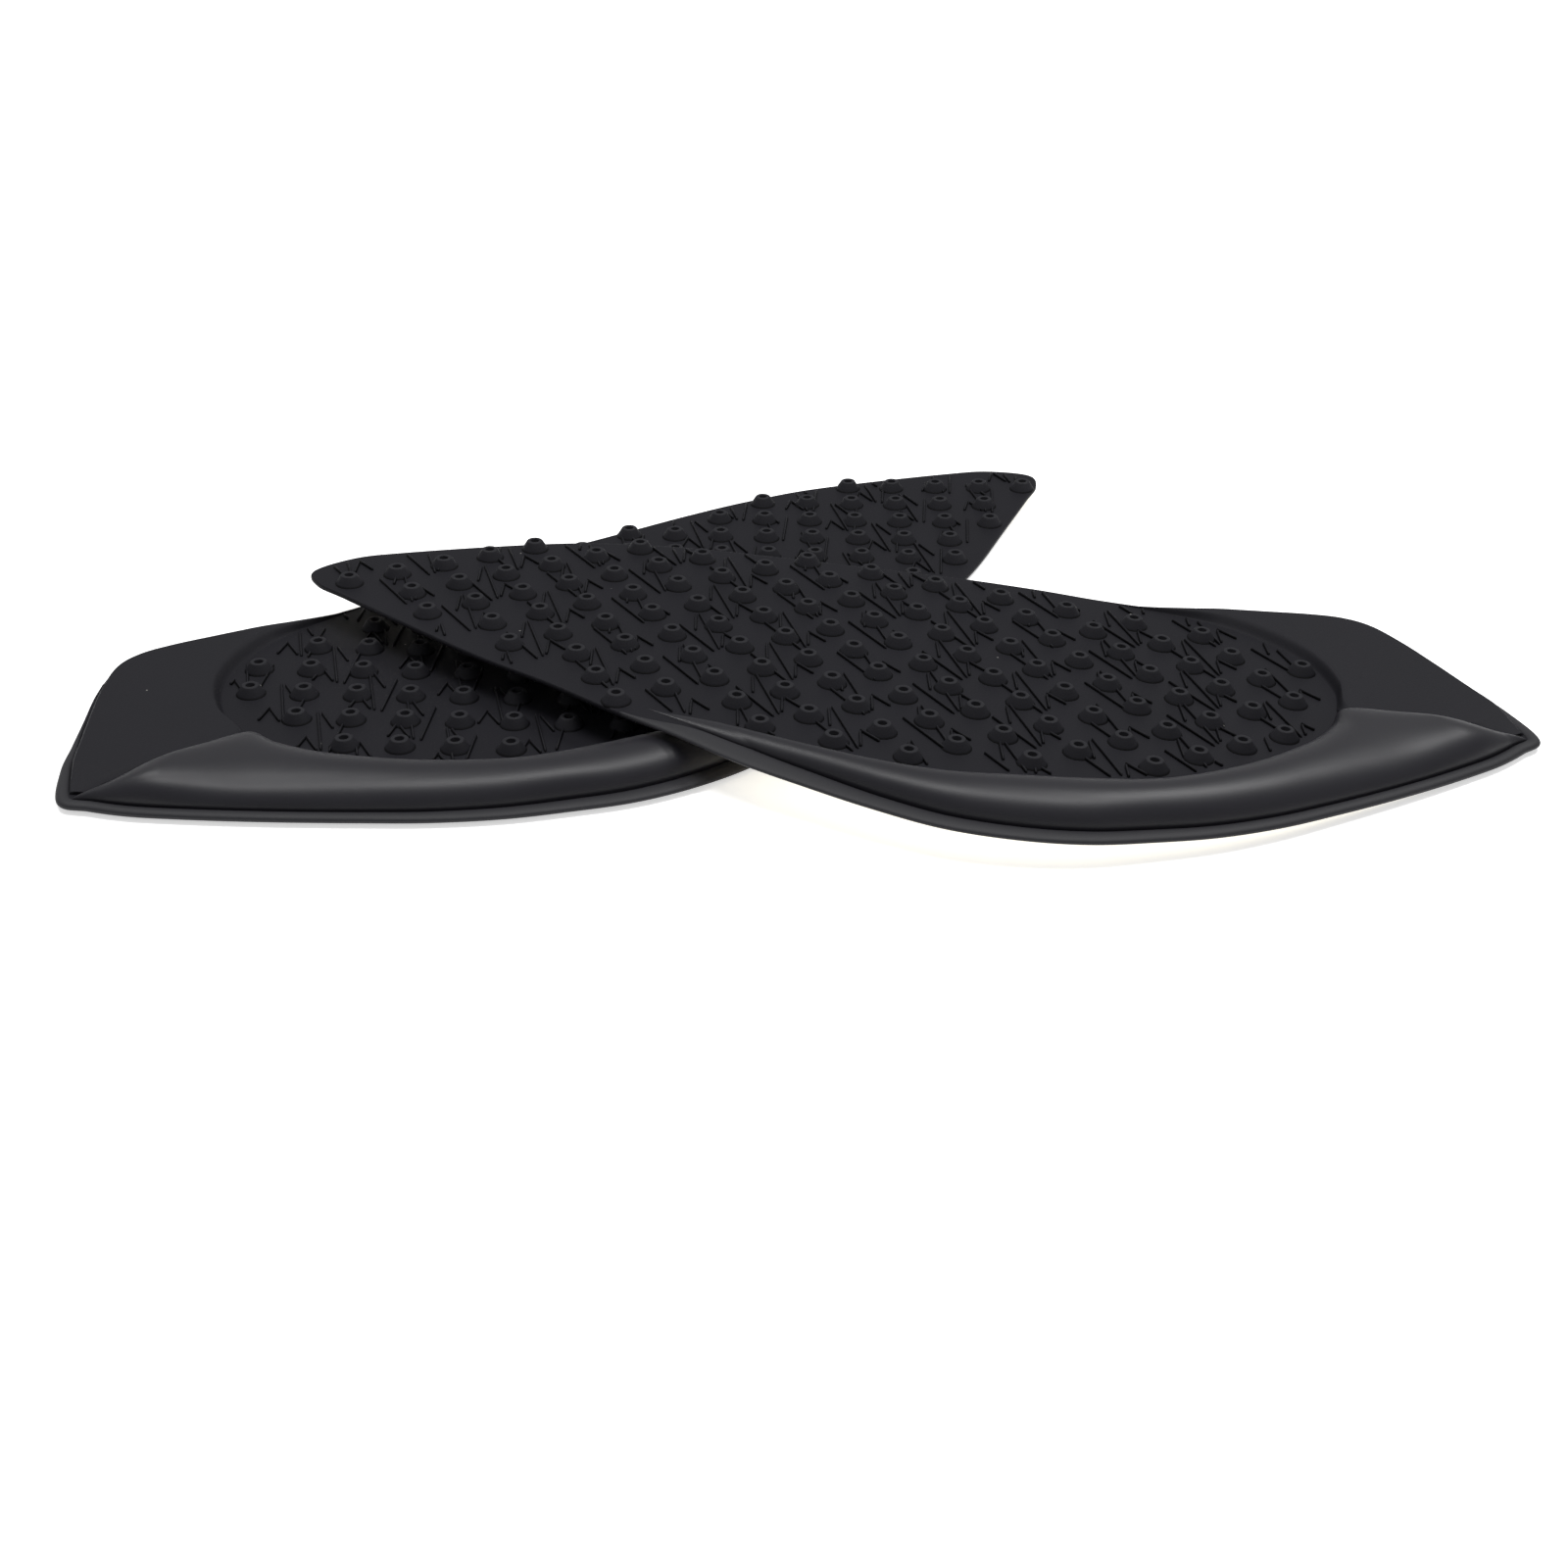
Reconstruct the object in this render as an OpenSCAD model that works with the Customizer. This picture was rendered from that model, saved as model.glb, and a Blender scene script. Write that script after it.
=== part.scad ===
// Pair of stick-on side grip pads for a motorcycle fuel tank.
// The two rubber pads are mirror images. One lies flat, the other is laid across it
// and drapes from the flat pad's knee roll down to the table.
// A pad's own axes: +X runs from the tail nose to the head tip, +Y towards the head panel.

/* [Layers] */
// Thickness of the release liner
liner_t = 0.2; // [0.1:0.05:0.3]
// Thickness of the adhesive film
film_t = 0.3; // [0.2:0.05:0.5]
// Thickness of the rubber sheet under the studs
sheet_t = 1.3; // [1:0.1:2]
// How far the adhesive film stays back from the pad's edge
film_inset = 1; // [0.5:0.1:2]

/* [Moulded relief] */
// Height of the knee roll above the sheet
roll_h = 6; // [3:0.1:6.2]
// Height of the head panel above the sheet
panel_h = 2.4; // [1:0.1:4]
// Height of the half-round bead along the outer edge
bead_h = 0.6; // [0.4:0.05:1]
// Slope that the back of the knee roll is steeper than, in degrees
roll_back = 30; // [25:1:45]

/* [Grip pattern] */
// Diameter of a stud at its foot
stud_foot_d = 6; // [5:0.1:6.4]
// Diameter of a stud at its top
stud_top_d = 3.2; // [2.6:0.1:4]
// Height of a stud above the sheet
stud_h = 2.3; // [1.5:0.1:3]
// Diameter of the blind hole in a stud
stud_hole_d = 1.6; // [1:0.1:2]
// Depth of the blind hole in a stud
stud_hole_depth = 1.4; // [0.5:0.1:1.8]
// Width of a zigzag rib
rib_w = 0.5; // [0.3:0.05:0.8]
// Height of a zigzag rib above the sheet
rib_h = 0.5; // [0.3:0.05:1]

/* [Layout] */
// Turn of the upper pad about the vertical, in degrees
upper_turn = -13.3; // [-16:0.1:-11]
// Turn of the lower pad about the vertical, in degrees
lower_turn = -137.15; // [-139:0.05:-135]
// Clear height between the lower pad's roll and the upper pad
lie_gap = 1.1; // [1:0.1:3]

/* [Hidden] */
// The lower pad's tail, measured from the upper pad's tail
lower_from_upper = [172.3, 90.1];
// Clearance left where draped pieces lie on each other
skin_gap = 0.05;
film_z = liner_t + skin_gap;
sheet_z = film_z + film_t;
top_z = sheet_z + sheet_t;
// The raised regions start this far above the sheet, so that facets of the drape don't cross
seat_gap = 0.02;
relief_z = top_z + seat_gap;
// Thinnest edge of a raised solid
feather = 0.15;

// Outline stations, nose to tip, along the edge with the roll and along the panel edge
low_edge = [
    [-1, -7], [2.6, -13.2], [11.5, -17.6], [30.5, -27], [51.5, -37.5], [70.5, -45.5],
    [87.5, -53.5], [103, -60], [119.5, -67.5], [135, -72.5], [150, -76.5], [165, -79],
    [180, -78], [194, -74.5], [207, -68.5], [219, -62], [231, -53.5], [242, -44],
    [252, -35], [261, -26.5], [269, -18.5], [275.5, -11.5], [280.5, -4.5], [284, 2]
];
top_edge = [
    [-1, -7], [5.2, 3], [14.5, 9.6], [33, 19.6], [52.5, 28.2], [71, 32.7],
    [88, 35.2], [104, 36.8], [120, 38.4], [136, 40.3], [152, 42], [168, 42.8],
    [182, 42.7], [196, 43.5], [209, 45.5], [221, 48.1], [232, 50.4], [240.5, 51],
    [248, 48.3], [256, 40.5], [264, 30.5], [271, 21.8], [277.5, 13.7], [284, 2]
];
// Inner edge of the roll from station 7, which becomes the crease between roll and panel
roll_edge = [
    [95, -51], [111, -53], [127, -56], [144, -57.5], [161, -56.5], [177, -52.5],
    [192, -48.3], [204.5, -43.5], [215, -36], [224, -27], [232, -16.5], [238, -7],
    [241, -1.5], [250, -1], [260, -0.7], [270, -0.4]
];
// Foot of the step up to the panel from station 12, which ends along the same crease
panel_edge = [
    [184, 41], [197, 41], [209, 39.2], [219.5, 35], [228.5, 28.8], [235, 21.2],
    [239.5, 11], [241.3, -0.3], [250, 0], [260, 0.3], [270, 0.6]
];
roll_start = 7;
panel_start = 12;
head_start = 19;
last = len(low_edge) - 1;
ring = concat(low_edge, [for (k = [last - 1:-1:1]) top_edge[k]]);
ring_len = len(ring);
// Width of the flange or bead outside the relief, by place round the outline
flange_w = [
    [0, 1.2], [5.5, 1.2], [7, 5], [8, 6.2], [10, 4.8], [13, 4.3],
    [17, 3.3], [23, 3], [26, 1.6], [30, 1.2], [46, 1.2]
];
// The field's share of a section before the roll and before the panel begin
low_share = 0.1;
top_share = 0.94;

// Stud lattice
stud_a = [7.5, -9.1];
stud_b = [8.7, 8.2];
stud_origin_upper = [100.9, 9.9];
stud_origin_lower = [98.4, 8.8];
// How far a stud's centre stays from each border of the field
stud_margin_low = 3.2;
stud_margin_top = 2.05;
stud_margin_roll = 2.8;
stud_margin_panel = 3.3;

// Zigzag ribs: one motif of straight strokes, repeated on a lattice of its own
rib_strokes = [
    [[0.1, -6.1], [-1.9, 1.4]], [[-1.5, 2.7], [7.9, -13.8]], [[-4.2, -4.5], [7.1, -15.3]],
    [[8.2, -12.6], [6.8, -6.6]], [[6.6, -5.7], [11.5, -9.2]]
];
rib_a = [19.3, -9.1];
rib_b = [1.05, -16.9];
rib_origin_upper = [149.9, 18.4];
rib_origin_lower = [148.1, 18.3];

// The upper pad's drape: full height up to drape_start, on the table from drape_end
drape_h = relief_z + roll_h + lie_gap;
drape_start = 53;
drape_end = 277;
drape_dir = [0.975, 0.22];

// ---- Curves ----

function lerp(a, b, u) = a + (b - a) * u;
function clamp01(u) = min(1, max(0, u));
function smooth(u) = let (c = clamp01(u)) c * c * (3 - 2 * c);

// Catmull-Rom blend of four points
function blend(p, u) = 0.5 * (2 * p[1] + (p[2] - p[0]) * u
    + (2 * p[0] - 5 * p[1] + 4 * p[2] - p[3]) * u * u
    + (3 * p[1] - p[0] - 3 * p[2] + p[3]) * u * u * u);

function open_curve(list, t) = let (
    n = len(list),
    i = min(n - 2, max(0, floor(t))),
    before = i > 0 ? list[i - 1] : 2 * list[0] - list[1],
    after = i < n - 2 ? list[i + 2] : 2 * list[n - 1] - list[n - 2]
) blend([before, list[i], list[i + 1], after], t - i);

function ring_at(t) = let (i = floor(t))
    blend([for (k = [-1:2]) ring[(i + k + ring_len) % ring_len]], t - i);

function left_of(v) = [-v[1], v[0]] / norm(v);

// A point on the outline moved inward by d
function inset(t, d) = ring_at(t) + d * left_of(ring_at(t + 0.02) - ring_at(t - 0.02));
function groove_at(t) = inset(t, lookup(t, flange_w));
function flange_at(t) = let (r = ring_len - t) inset(r, lookup(r, flange_w));

roll_line = [for (k = [0:last])
    k < roll_start ? lerp(groove_at(k), flange_at(k), k == 0 ? 0 : low_share)
    : k < last ? roll_edge[k - roll_start] : groove_at(last)];
panel_line = [for (k = [0:last])
    k < panel_start ? lerp(groove_at(k), flange_at(k), k == 0 ? 0 : top_share)
    : k < last ? panel_edge[k - panel_start] : groove_at(last)];

// ---- Where a pad lies ----

function turned(p, a) = [p[0] * cos(a) - p[1] * sin(a), p[0] * sin(a) + p[1] * cos(a)];
outline_steps = [0:0.25:ring_len - 0.25];
footprint = [for (t = outline_steps) let (p = ring_at(t)) each [
    turned(p, upper_turn), lower_from_upper + turned([p[0], -p[1]], lower_turn)]];
footprint_x = [for (p = footprint) p[0]];
footprint_y = [for (p = footprint) p[1]];
centre = [min(footprint_x) + max(footprint_x), min(footprint_y) + max(footprint_y)] / 2;

module place(upper) {
    if (upper)
        translate(-centre) rotate(upper_turn) children();
    else
        translate(lower_from_upper - centre) rotate(lower_turn) mirror([0, 1, 0]) children();
}

// Height of the underside above the table
function lift(p, upper) = upper
    ? drape_h * (1 + cos(180 * clamp01((p * drape_dir - drape_start) / (drape_end - drape_start)))) / 2
    : 0;
function tilt(p, upper) = atan(lift(p + drape_dir, upper) - lift(p, upper));

// ---- Solids between two lines of points ----

// Closed solid over a grid of [x, y, bottom, top] points, draped when upper
module draped_grid(grid, upper) {
    rows = len(grid);
    cols = len(grid[0]);
    count = rows * cols;
    tops = [for (row = grid) for (q = row) [q[0], q[1], q[3] + lift([q[0], q[1]], upper)]];
    bottoms = [for (row = grid) for (q = row) [q[0], q[1], q[2] + lift([q[0], q[1]], upper)]];
    rim = concat([for (j = [0:cols - 1]) j], [for (i = [1:rows - 1]) i * cols + cols - 1],
        [for (j = [cols - 2:-1:0]) (rows - 1) * cols + j], [for (i = [rows - 2:-1:1]) i * cols]);
    lids = [for (i = [0:rows - 2]) for (j = [0:cols - 2]) let (a = i * cols + j) each [
        [a, a + 1, a + cols + 1], [a, a + cols + 1, a + cols],
        [count + a, count + a + cols + 1, count + a + 1],
        [count + a, count + a + cols, count + a + cols + 1]]];
    walls = [for (k = [0:len(rim) - 1]) let (a = rim[k], b = rim[(k + 1) % len(rim)]) each [
        [a, count + a, count + b], [a, count + b, b]]];
    polyhedron(points = concat(tops, bottoms), faces = concat(lids, walls));
}

// Sections of a flat layer run straight from one edge to the other
module layer(z, thick, back, upper) {
    near_end = 0.12;
    steps = [for (k = [0:2 * last]) min(last - near_end, max(near_end, k / 2))];
    across = 7;
    if (upper)
        draped_grid([for (t = steps) [for (j = [0:across]) let (
            p = lerp(inset(t, back), inset(ring_len - t, back), j / across)
        ) [p[0], p[1], z, z + thick]]], true);
    else
        translate([0, 0, z]) linear_extrude(thick)
            polygon(concat([for (t = steps) inset(t, back)],
                [for (k = [len(steps) - 1:-1:0]) inset(ring_len - steps[k], back)]));
}

// ---- Relief of the moulding ----

// The roll swells from nothing at station 7, and dies away again into the tip
function roll_swell(t) = pow(sin(90 * clamp01((t - roll_start) / 5.5)), 1.1)
    * (1 - smooth((t - 20.5) / 2.8));
function crease_h(t) = max(feather, 0.6 * panel_h * smooth(t - head_start + 1));

function roll_at(t) = open_curve(roll_line, t);
function panel_at(t) = open_curve(panel_line, t);

// Share of its band that the roll fills: all of it at the head, and less before, to keep a steep back
function roll_share(t) = let (across = norm(roll_at(t) - groove_at(t)))
    lerp(1 - pow(roll_h * roll_swell(t) / tan(roll_back) / across, 2), 1, smooth((t - 17) / 2));

// Cross-section of the roll: half an ellipse, with its top flatter towards the head
function roll_profile(t, v) = let (
    full = feather + roll_h * roll_swell(t),
    foot = v < 0.5 ? feather : min(full, crease_h(t)),
    flatness = 2 + 0.6 * smooth((t - 17) / 3)
) foot + (full - foot) * sqrt(max(0, 1 - pow(abs(2 * v - 1), flatness)));
module knee_roll(upper) {
    steps = [for (k = [0:44]) lerp(roll_start, 22.6, k / 44)];
    shares = [0, 0.03, 0.1, 0.22, 0.36, 0.5, 0.64, 0.78, 0.9, 0.97, 1];
    draped_grid([for (t = steps) [for (v = shares) let (
        p = lerp(groove_at(t), roll_at(t), v * roll_share(t))
    ) [p[0], p[1], relief_z, relief_z + roll_profile(t, v)]]], upper);
}

module head_panel(upper) {
    steps = [for (k = [0:30]) lerp(panel_start + 0.6, 22.6, k / 30)];
    shares = [0, 0.12, 0.25, 0.6, 1];
    draped_grid([for (t = steps) [for (v = shares) let (
        p = lerp(panel_at(t), flange_at(t), v),
        full = feather + panel_h * smooth((t - panel_start) / 2.4)
    ) [p[0], p[1], relief_z, relief_z + lerp(min(full, crease_h(t)), full, smooth(v / 0.25))]]], upper);
}

module edge_bead(upper) {
    steps = [for (k = [0:48]) lerp(roll_start - 0.5, 22.8, k / 48)];
    side_gap = 0.12;
    draped_grid([for (t = steps) [for (v = [0:0.2:1]) let (
        width = lookup(t, flange_w) - side_gap,
        p = inset(t, width * v)
    ) [p[0], p[1], relief_z, relief_z + max(feather, bead_h * sqrt(sin(180 * v)))]]], upper);
}

// ---- Grip pattern ----

// The studs' centres stay inside this polygon
stud_limit = concat(
    [for (t = [0:0.25:head_start]) t < 6.4 ? inset(t, stud_margin_low)
        : roll_at(t) + stud_margin_roll * left_of(roll_at(t + 0.02) - roll_at(t - 0.02))],
    [for (t = [head_start:-0.25:0]) t < panel_start + 0.2
        ? inset(ring_len - t, t < 1.3 ? stud_margin_low : stud_margin_top)
        : panel_at(t) - stud_margin_panel * left_of(panel_at(t + 0.02) - panel_at(t - 0.02))]);
// The ribs stay inside this one
rib_margin = 0.8;
rib_limit = concat(
    [for (t = [0.5:0.5:head_start]) t < 6.4 ? inset(t, 2 * rib_margin) : roll_at(t) + [0, rib_margin]],
    [for (t = [head_start:-0.5:0.5]) t < panel_start
        ? inset(ring_len - t, 2 * rib_margin) : panel_at(t) - [0, rib_margin]]);

// True when a ray from p crosses the polygon's sides an odd number of times
function inside(p, poly) = let (n = len(poly), hits = [for (k = [0:n - 1]) let (
    a = poly[k], b = poly[(k + 1) % n]
) if ((a[1] > p[1]) != (b[1] > p[1])
    && p[0] < a[0] + (b[0] - a[0]) * (p[1] - a[1]) / (b[1] - a[1])) 1]) len(hits) % 2 == 1;

function stud_centres(upper) = let (origin = upper ? stud_origin_upper : stud_origin_lower)
    [for (i = [-8:12]) for (j = [-10:12]) let (p = origin + i * stud_a + j * stud_b)
        if (inside(p, stud_limit)) p];
studs_upper = stud_centres(true);
studs_lower = stud_centres(false);

module on_sheet(p, upper) {
    turn = atan2(drape_dir[1], drape_dir[0]);
    translate([p[0], p[1], relief_z + lift(p, upper)])
        rotate(turn) rotate([0, -tilt(p, upper), 0]) rotate(-turn) children();
}

module stud() {
    difference() {
        cylinder(d1 = stud_foot_d, d2 = stud_top_d, h = stud_h, $fn = 32);
        translate([0, 0, stud_h - stud_hole_depth])
            cylinder(d = stud_hole_d, h = stud_hole_depth + 1, $fn = 24);
    }
}

module grip_studs(upper) {
    for (p = upper ? studs_upper : studs_lower)
        on_sheet(p, upper) stud();
}

// Distance from point p to the stroke from a to b
function off_stroke(p, a, b) = let (u = clamp01((p - a) * (b - a) / ((b - a) * (b - a))))
    norm(p - lerp(a, b, u));
function stroke_clear(a, b, studs) = inside(a, rib_limit) && inside(b, rib_limit)
    && min([for (p = studs) off_stroke(p, a, b)]) > (stud_foot_d + rib_w) / 2 + 0.1;

// A stroke that runs under a stud keeps whichever halves clear it
rib_halves = [[0, 0.45], [0.55, 1]];
function kept_pieces(a, b, studs) = stroke_clear(a, b, studs) ? [[a, b]]
    : [for (s = rib_halves) let (p = lerp(a, b, s[0]), q = lerp(a, b, s[1]))
        if (stroke_clear(p, q, studs)) [p, q]];

module rib(a, b, upper) {
    side = rib_w / 2 * left_of(b - a);
    lean = 0.6;
    half = norm(b - a) / 2;
    trim = 0.3 / half;
    from = lerp(a, b, trim);
    to = lerp(a, b, 1 - trim);
    points = [for (p = [from, to]) for (s = [-1, 1]) for (h = [0, 1]) let (
        q = p + side * s * (h == 0 ? 1 : lean)
    ) [q[0], q[1], relief_z + h * rib_h + lift(q, upper)]];
    polyhedron(points = points, faces = [
        [0, 1, 3], [0, 3, 2], [4, 6, 7], [4, 7, 5], [0, 4, 5], [0, 5, 1],
        [2, 3, 7], [2, 7, 6], [1, 5, 7], [1, 7, 3], [0, 2, 6], [0, 6, 4]]);
}

module zigzag_ribs(upper) {
    studs = upper ? studs_upper : studs_lower;
    origin = upper ? rib_origin_upper : rib_origin_lower;
    for (i = [-9:6])
        for (j = [-9:9])
            for (s = rib_strokes) {
                at = origin + i * rib_a + j * rib_b;
                for (piece = kept_pieces(at + s[0], at + s[1], studs))
                    rib(piece[0], piece[1], upper);
            }
}

// ---- Sub-parts ----

liner_color = [0.86, 0.82, 0.68];
film_color = [0.55, 0.56, 0.56];
rubber_color = [0.09, 0.09, 0.1];
relief_color = [0.14, 0.14, 0.15];

module lower_release_liner() { color(liner_color) place(false) layer(0, liner_t, 0, false); }
module lower_adhesive_film() { color(film_color) place(false) layer(film_z, film_t, film_inset, false); }
module lower_base_sheet() { color(rubber_color) place(false) layer(sheet_z, sheet_t, 0, false); }
module lower_edge_bead() { color(relief_color) place(false) edge_bead(false); }
module lower_knee_roll() { color(relief_color) place(false) knee_roll(false); }
module lower_head_panel() { color(relief_color) place(false) head_panel(false); }
module lower_grip_studs() { color(relief_color) place(false) grip_studs(false); }
module lower_zigzag_ribs() { color(relief_color) place(false) zigzag_ribs(false); }
module upper_release_liner() { color(liner_color) place(true) layer(0, liner_t, 0, true); }
module upper_adhesive_film() { color(film_color) place(true) layer(film_z, film_t, film_inset, true); }
module upper_base_sheet() { color(rubber_color) place(true) layer(sheet_z, sheet_t, 0, true); }
module upper_edge_bead() { color(relief_color) place(true) edge_bead(true); }
module upper_knee_roll() { color(relief_color) place(true) knee_roll(true); }
module upper_head_panel() { color(relief_color) place(true) head_panel(true); }
module upper_grip_studs() { color(relief_color) place(true) grip_studs(true); }
module upper_zigzag_ribs() { color(relief_color) place(true) zigzag_ribs(true); }

lower_release_liner();
lower_adhesive_film();
lower_base_sheet();
lower_edge_bead();
lower_knee_roll();
lower_head_panel();
lower_grip_studs();
lower_zigzag_ribs();
upper_release_liner();
upper_adhesive_film();
upper_base_sheet();
upper_edge_bead();
upper_knee_roll();
upper_head_panel();
upper_grip_studs();
upper_zigzag_ribs();
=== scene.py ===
import math
import bpy
import numpy as np
from mathutils import Matrix, Vector


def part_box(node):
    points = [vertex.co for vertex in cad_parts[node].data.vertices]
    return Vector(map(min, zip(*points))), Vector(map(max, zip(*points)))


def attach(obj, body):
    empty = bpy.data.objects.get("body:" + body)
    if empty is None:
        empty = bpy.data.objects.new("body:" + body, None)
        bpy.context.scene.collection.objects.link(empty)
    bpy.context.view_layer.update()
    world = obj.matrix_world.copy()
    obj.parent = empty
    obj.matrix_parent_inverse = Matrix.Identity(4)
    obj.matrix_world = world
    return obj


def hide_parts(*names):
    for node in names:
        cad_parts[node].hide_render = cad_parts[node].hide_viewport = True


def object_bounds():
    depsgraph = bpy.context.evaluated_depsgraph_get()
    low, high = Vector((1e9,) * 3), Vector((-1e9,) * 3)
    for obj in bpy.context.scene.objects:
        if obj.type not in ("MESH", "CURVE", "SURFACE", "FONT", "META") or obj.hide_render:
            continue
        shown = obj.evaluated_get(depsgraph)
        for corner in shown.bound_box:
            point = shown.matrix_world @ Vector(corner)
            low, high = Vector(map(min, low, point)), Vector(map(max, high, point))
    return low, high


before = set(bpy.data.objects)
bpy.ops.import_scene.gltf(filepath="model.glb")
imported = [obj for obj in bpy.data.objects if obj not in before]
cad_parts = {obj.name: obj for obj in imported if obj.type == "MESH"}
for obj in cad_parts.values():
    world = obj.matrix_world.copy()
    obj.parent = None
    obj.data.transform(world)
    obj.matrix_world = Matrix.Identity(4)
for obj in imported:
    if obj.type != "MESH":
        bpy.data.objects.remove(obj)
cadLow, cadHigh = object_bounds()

# Lengths below are in millimetres in a pad's own axes: x from the tail nose to the head tip,
# y towards the head panel. A place along a pad is a station t, 0 at the nose and 23 at the tip.
mm = 0.001
middle = (cadLow + cadHigh) / 2


# ---- camera ----

view = {"side": -5.84, "standOff": 468.3, "height": 225.2, "tiltUp": 60.45, "roll": 0.98, "lens": 49.69}


# A 36 mm camera beside and in front of the pads' middle, tilted and then rolled about its own axis
def makeCamera():
    camera = bpy.data.objects.new("camera", bpy.data.cameras.new("camera"))
    camera.data.lens, camera.data.sensor_width = view["lens"], 36
    camera.data.clip_start, camera.data.clip_end = 0.01, 50
    place = Vector((middle.x + view["side"] * mm, middle.y - view["standOff"] * mm, view["height"] * mm))
    tilt = Matrix.Rotation(math.radians(view["tiltUp"]), 4, "X")
    turn = Matrix.Rotation(math.radians(view["roll"]), 4, "Z")
    camera.matrix_world = Matrix.Translation(place) @ tilt @ turn
    bpy.context.scene.collection.objects.link(camera)
    bpy.context.scene.camera = camera
    print("camera placed")


makeCamera()


# ---- lines of a pad ----

lines = {
    "rollSide": [
        (-1, -7), (2.6, -13.2), (11.5, -17.6), (30.5, -27), (51.5, -37.5), (70.5, -45.5),
        (87.5, -53.5), (103, -60), (119.5, -67.5), (135, -72.5), (150, -76.5), (165, -79),
        (180, -78), (194, -74.5), (207, -68.5), (219, -62), (231, -53.5), (242, -44),
        (252, -35), (261, -26.5), (269, -18.5), (275.5, -11.5), (280.5, -4.5), (284, 2)],
    "panelSide": [
        (-1, -7), (5.2, 3), (14.5, 9.6), (33, 19.6), (52.5, 28.2), (71, 32.7),
        (88, 35.2), (104, 36.8), (120, 38.4), (136, 40.3), (152, 42), (168, 42.8),
        (182, 42.7), (196, 43.5), (209, 45.5), (221, 48.1), (232, 50.4), (240.5, 51),
        (248, 48.3), (256, 40.5), (264, 30.5), (271, 21.8), (277.5, 13.7), (284, 2)],
    # inner edge of the roll from station 7, which becomes the crease between roll and panel
    "rollEdge": [
        (95, -51), (111, -53), (127, -56), (144, -57.5), (161, -56.5), (177, -52.5),
        (192, -48.3), (204.5, -43.5), (215, -36), (224, -27), (232, -16.5), (238, -7),
        (241, -1.5), (250, -1), (260, -0.7), (270, -0.4)],
    # foot of the step up to the panel from station 12
    "panelEdge": [
        (184, 41), (197, 41), (209, 39.2), (219.5, 35), (228.5, 28.8), (235, 21.2),
        (239.5, 11), (241.3, -0.3), (250, 0), (260, 0.3), (270, 0.6)],
    "rollFrom": 7, "panelFrom": 12, "lowShare": 0.1, "topShare": 0.94,
    # width of the bead or flange by place round the outline
    "flange": [(0, 1.2), (5.5, 1.2), (7, 5), (8, 6.2), (10, 4.8), (13, 4.3),
               (17, 3.3), (23, 3), (26, 1.6), (30, 1.2), (46, 1.2)],
}
rollSide, panelSide = np.array(lines["rollSide"]), np.array(lines["panelSide"])
outline = np.vstack([rollSide, panelSide[-2:0:-1]])
around, tip = len(outline), len(rollSide) - 1
flangeAt, flangeWidth = np.array(lines["flange"]).T


# Catmull-Rom blend of four rows of points at share u between the middle two
def blendFour(a, b, c, d, u):
    u = u[..., None]
    return 0.5 * (2 * b + (c - a) * u + (2 * a - 5 * b + 4 * c - d) * u**2 + (3 * b - a - 3 * c + d) * u**3)


# A point on the closed outline, which wraps after its last station
def onOutline(t):
    t = np.asarray(t, float) % around
    i = np.floor(t).astype(int)
    return blendFour(*(outline[(i + k) % around] for k in (-1, 0, 1, 2)), t - i)


# A point on an open line, whose ends go on straight
def onLine(points, t):
    t = np.asarray(t, float)
    i = np.clip(np.floor(t).astype(int), 0, len(points) - 2)
    long = np.vstack([2 * points[0] - points[1], points, 2 * points[-1] - points[-2]])
    return blendFour(*(long[i + k] for k in range(4)), t - i)


# Unit normal to the left of a line that runs along rising t
def leftOf(line, t):
    step = line(np.asarray(t) + 0.02) - line(np.asarray(t) - 0.02)
    step /= np.linalg.norm(step, axis=-1, keepdims=True)
    return np.stack([-step[..., 1], step[..., 0]], -1)


# The outline moved inward by a distance
def inward(t, distance):
    t = np.asarray(t, float)
    return onOutline(t) + leftOf(onOutline, t) * np.broadcast_to(distance, t.shape)[..., None]


# Width of the flange at a station, straight between the listed ones
def flangeFor(t):
    return np.interp(np.asarray(t, float) % around, flangeAt, flangeWidth)


# The line where the bead meets the roll: the outline moved in by the flange's width
def groove(t):
    return inward(t, flangeFor(t))


# The same line along the panel's side, by the station across from it
def flangeLine(t):
    return groove(around - np.asarray(t, float))


# The roll's inner edge and the panel's foot: a share of the section, then their own points
def innerLine(share, own, first):
    t = np.arange(tip + 1)
    points = groove(t) + share * (flangeLine(t) - groove(t))
    points[0], points[tip] = groove(0), groove(tip)
    points[first:tip] = own
    return points


rollPoints = innerLine(lines["lowShare"], lines["rollEdge"], lines["rollFrom"])
panelPoints = innerLine(lines["topShare"], lines["panelEdge"], lines["panelFrom"])


# Inner edge of the roll, and then the crease
def rollLine(t):
    return onLine(rollPoints, t)


# Foot of the panel's step, and then the crease
def panelLine(t):
    return onLine(panelPoints, t)


# Cubic ease from 0 to 1
def smooth(u):
    u = np.clip(u, 0, 1)
    return u * u * (3 - 2 * u)


# ---- where the pads lie ----

lie = {"upper": {"turn": -13.3, "mirror": 1}, "lower": {"turn": -137.15, "mirror": -1}}
drape = {"start": 53, "end": 277, "along": (0.975, 0.22)}
# the tail noses curl up a little more, over their last stretch
curl = {"upper": 1.2, "lower": 1.6, "length": 70, "most": 1.1}
sheetLow, sheetHigh = (corner.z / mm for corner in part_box("lower_base_sheet"))
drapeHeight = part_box("upper_base_sheet")[1].z / mm - sheetHigh


# x and y turned about the tail, and mirrored for the lower pad
def turned(side, xy):
    angle = math.radians(lie[side]["turn"])
    x, y = xy[..., 0], xy[..., 1] * lie[side]["mirror"]
    cosine, sine = math.cos(angle), math.sin(angle)
    return np.stack([x * cosine - y * sine, x * sine + y * cosine], -1)


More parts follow.
